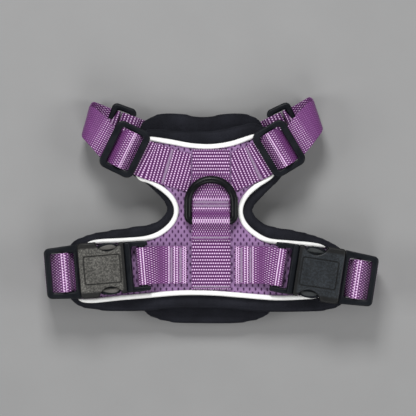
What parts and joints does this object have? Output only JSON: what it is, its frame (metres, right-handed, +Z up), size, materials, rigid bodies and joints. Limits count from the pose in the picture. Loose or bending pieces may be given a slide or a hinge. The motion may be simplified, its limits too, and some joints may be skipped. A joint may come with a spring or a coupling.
{
  "type": "no pull dog harness",
  "caption": "Dog harness laid flat and buckled: padded back and chest panels, webbing straps with sliders, two side-release buckles, and a leash ring on the back and on the chest.",
  "frame": {"origin": "middle of the laid-out harness on the floor", "axes": "+X across the harness to the picture's right, +Y towards the neck opening, +Z up, out of the back panel"},
  "size_m": [0.2211, 0.1518, 0.035],
  "materials": {
    "padded_lining": "matt black padded air mesh",
    "air_mesh": "purple air mesh with small holes",
    "reflective_piping": "white reflective piping",
    "webbing": "purple ribbed nylon webbing",
    "ring_metal": "gloss black",
    "black_plastic": "satin black acetal",
    "prong_plastic": "satin dark grey acetal"
  },
  "bodies": {
    "harness": {"back_lining": "padded_lining", "back_mesh": "air_mesh", "neck_piping": "reflective_piping", "left_armhole_piping": "reflective_piping", "right_armhole_piping": "reflective_piping", "hem_piping": "reflective_piping", "spine_base_webbing": "webbing", "spine_webbing": "webbing", "chest_lining": "padded_lining", "chest_mesh": "air_mesh", "chest_piping": "reflective_piping", "chest_webbing": "webbing", "front_ring_loop": "webbing", "left_ring_tab": "webbing", "right_ring_tab": "webbing", "left_shoulder_strap": "webbing", "right_shoulder_strap": "webbing", "left_girth_strap": "webbing", "right_girth_strap": "webbing", "left_buckle_tab": "webbing", "right_buckle_tab": "webbing", "left_buckle_male": "black_plastic", "right_buckle_male": "black_plastic"},
    "back_ring": {"back_ring": "ring_metal"},
    "front_ring": {"front_ring": "ring_metal"},
    "left_square_ring": {"left_square_ring": "black_plastic"},
    "right_square_ring": {"right_square_ring": "black_plastic"},
    "left_slider": {"left_slider": "black_plastic"},
    "right_slider": {"right_slider": "black_plastic"},
    "left_socket": {"left_buckle_socket": "black_plastic"},
    "right_socket": {"right_buckle_socket": "black_plastic"},
    "left_upper_prong": {"left_upper_prong": "prong_plastic"},
    "left_lower_prong": {"left_lower_prong": "prong_plastic"},
    "right_upper_prong": {"right_upper_prong": "prong_plastic"},
    "right_lower_prong": {"right_lower_prong": "prong_plastic"}
  },
  "joints": [
    {"name": "back_ring_swing", "type": "hinge", "parent": "harness", "child": "back_ring", "pos_m": [0, -0.0065, 0.0276], "axis": [1, 0, 0], "range_deg": [0, 165]},
    {"name": "front_ring_swing", "type": "hinge", "parent": "harness", "child": "front_ring", "pos_m": [-0.0045, 0.018, 0.0036], "axis": [1, 0, 0], "range_deg": [0, 150]},
    {"name": "left_slider_slide", "type": "slide", "parent": "harness", "child": "left_slider", "axis": [-0.8988, 0.4384, 0], "range_m": [-0.008, 0.008], "deforming": ["left_shoulder_strap"]},
    {"name": "left_square_ring_swing", "type": "hinge", "parent": "harness", "child": "left_square_ring", "pos_m": [-0.05588, 0.05125, 0.009], "axis": [0.342, 0.9397, 0], "range_deg": [-10, 30], "deforming": ["left_shoulder_strap"]},
    {"name": "right_slider_slide", "type": "slide", "parent": "harness", "child": "right_slider", "axis": [0.8572, 0.515, 0], "range_m": [-0.008, 0.008], "deforming": ["right_shoulder_strap"]},
    {"name": "right_square_ring_swing", "type": "hinge", "parent": "harness", "child": "right_square_ring", "pos_m": [0.04462, 0.05121, 0.009], "axis": [0.4226, -0.9063, 0], "range_deg": [-10, 30], "deforming": ["right_shoulder_strap"]},
    {"name": "left_socket_slide", "type": "slide", "parent": "harness", "child": "left_socket", "axis": [-0.9965, -0.0837, 0], "range_m": [0, 0.032], "deforming": ["left_girth_strap", "left_upper_prong", "left_lower_prong"]},
    {"name": "right_socket_slide", "type": "slide", "parent": "harness", "child": "right_socket", "axis": [0.9882, -0.153, 0], "range_m": [0, 0.032], "deforming": ["right_girth_strap", "right_upper_prong", "right_lower_prong"]},
    {"name": "left_upper_prong_flex", "type": "hinge", "parent": "harness", "child": "left_upper_prong", "pos_m": [-0.05494, -0.02685, 0.0302], "axis": [0, 0, 1], "range_deg": [0, 12], "stiffness_Nm_per_rad": 0.6},
    {"name": "left_lower_prong_flex", "type": "hinge", "parent": "harness", "child": "left_lower_prong", "pos_m": [-0.05327, -0.04678, 0.0302], "axis": [0, 0, -1], "range_deg": [0, 12], "stiffness_Nm_per_rad": 0.6},
    {"name": "right_upper_prong_flex", "type": "hinge", "parent": "harness", "child": "right_upper_prong", "pos_m": [0.05536, -0.02828, 0.0302], "axis": [0, 0, -1], "range_deg": [0, 12], "stiffness_Nm_per_rad": 0.6},
    {"name": "right_lower_prong_flex", "type": "hinge", "parent": "harness", "child": "right_lower_prong", "pos_m": [0.0523, -0.04805, 0.0302], "axis": [0, 0, 1], "range_deg": [0, 12], "stiffness_Nm_per_rad": 0.6}
  ]
}
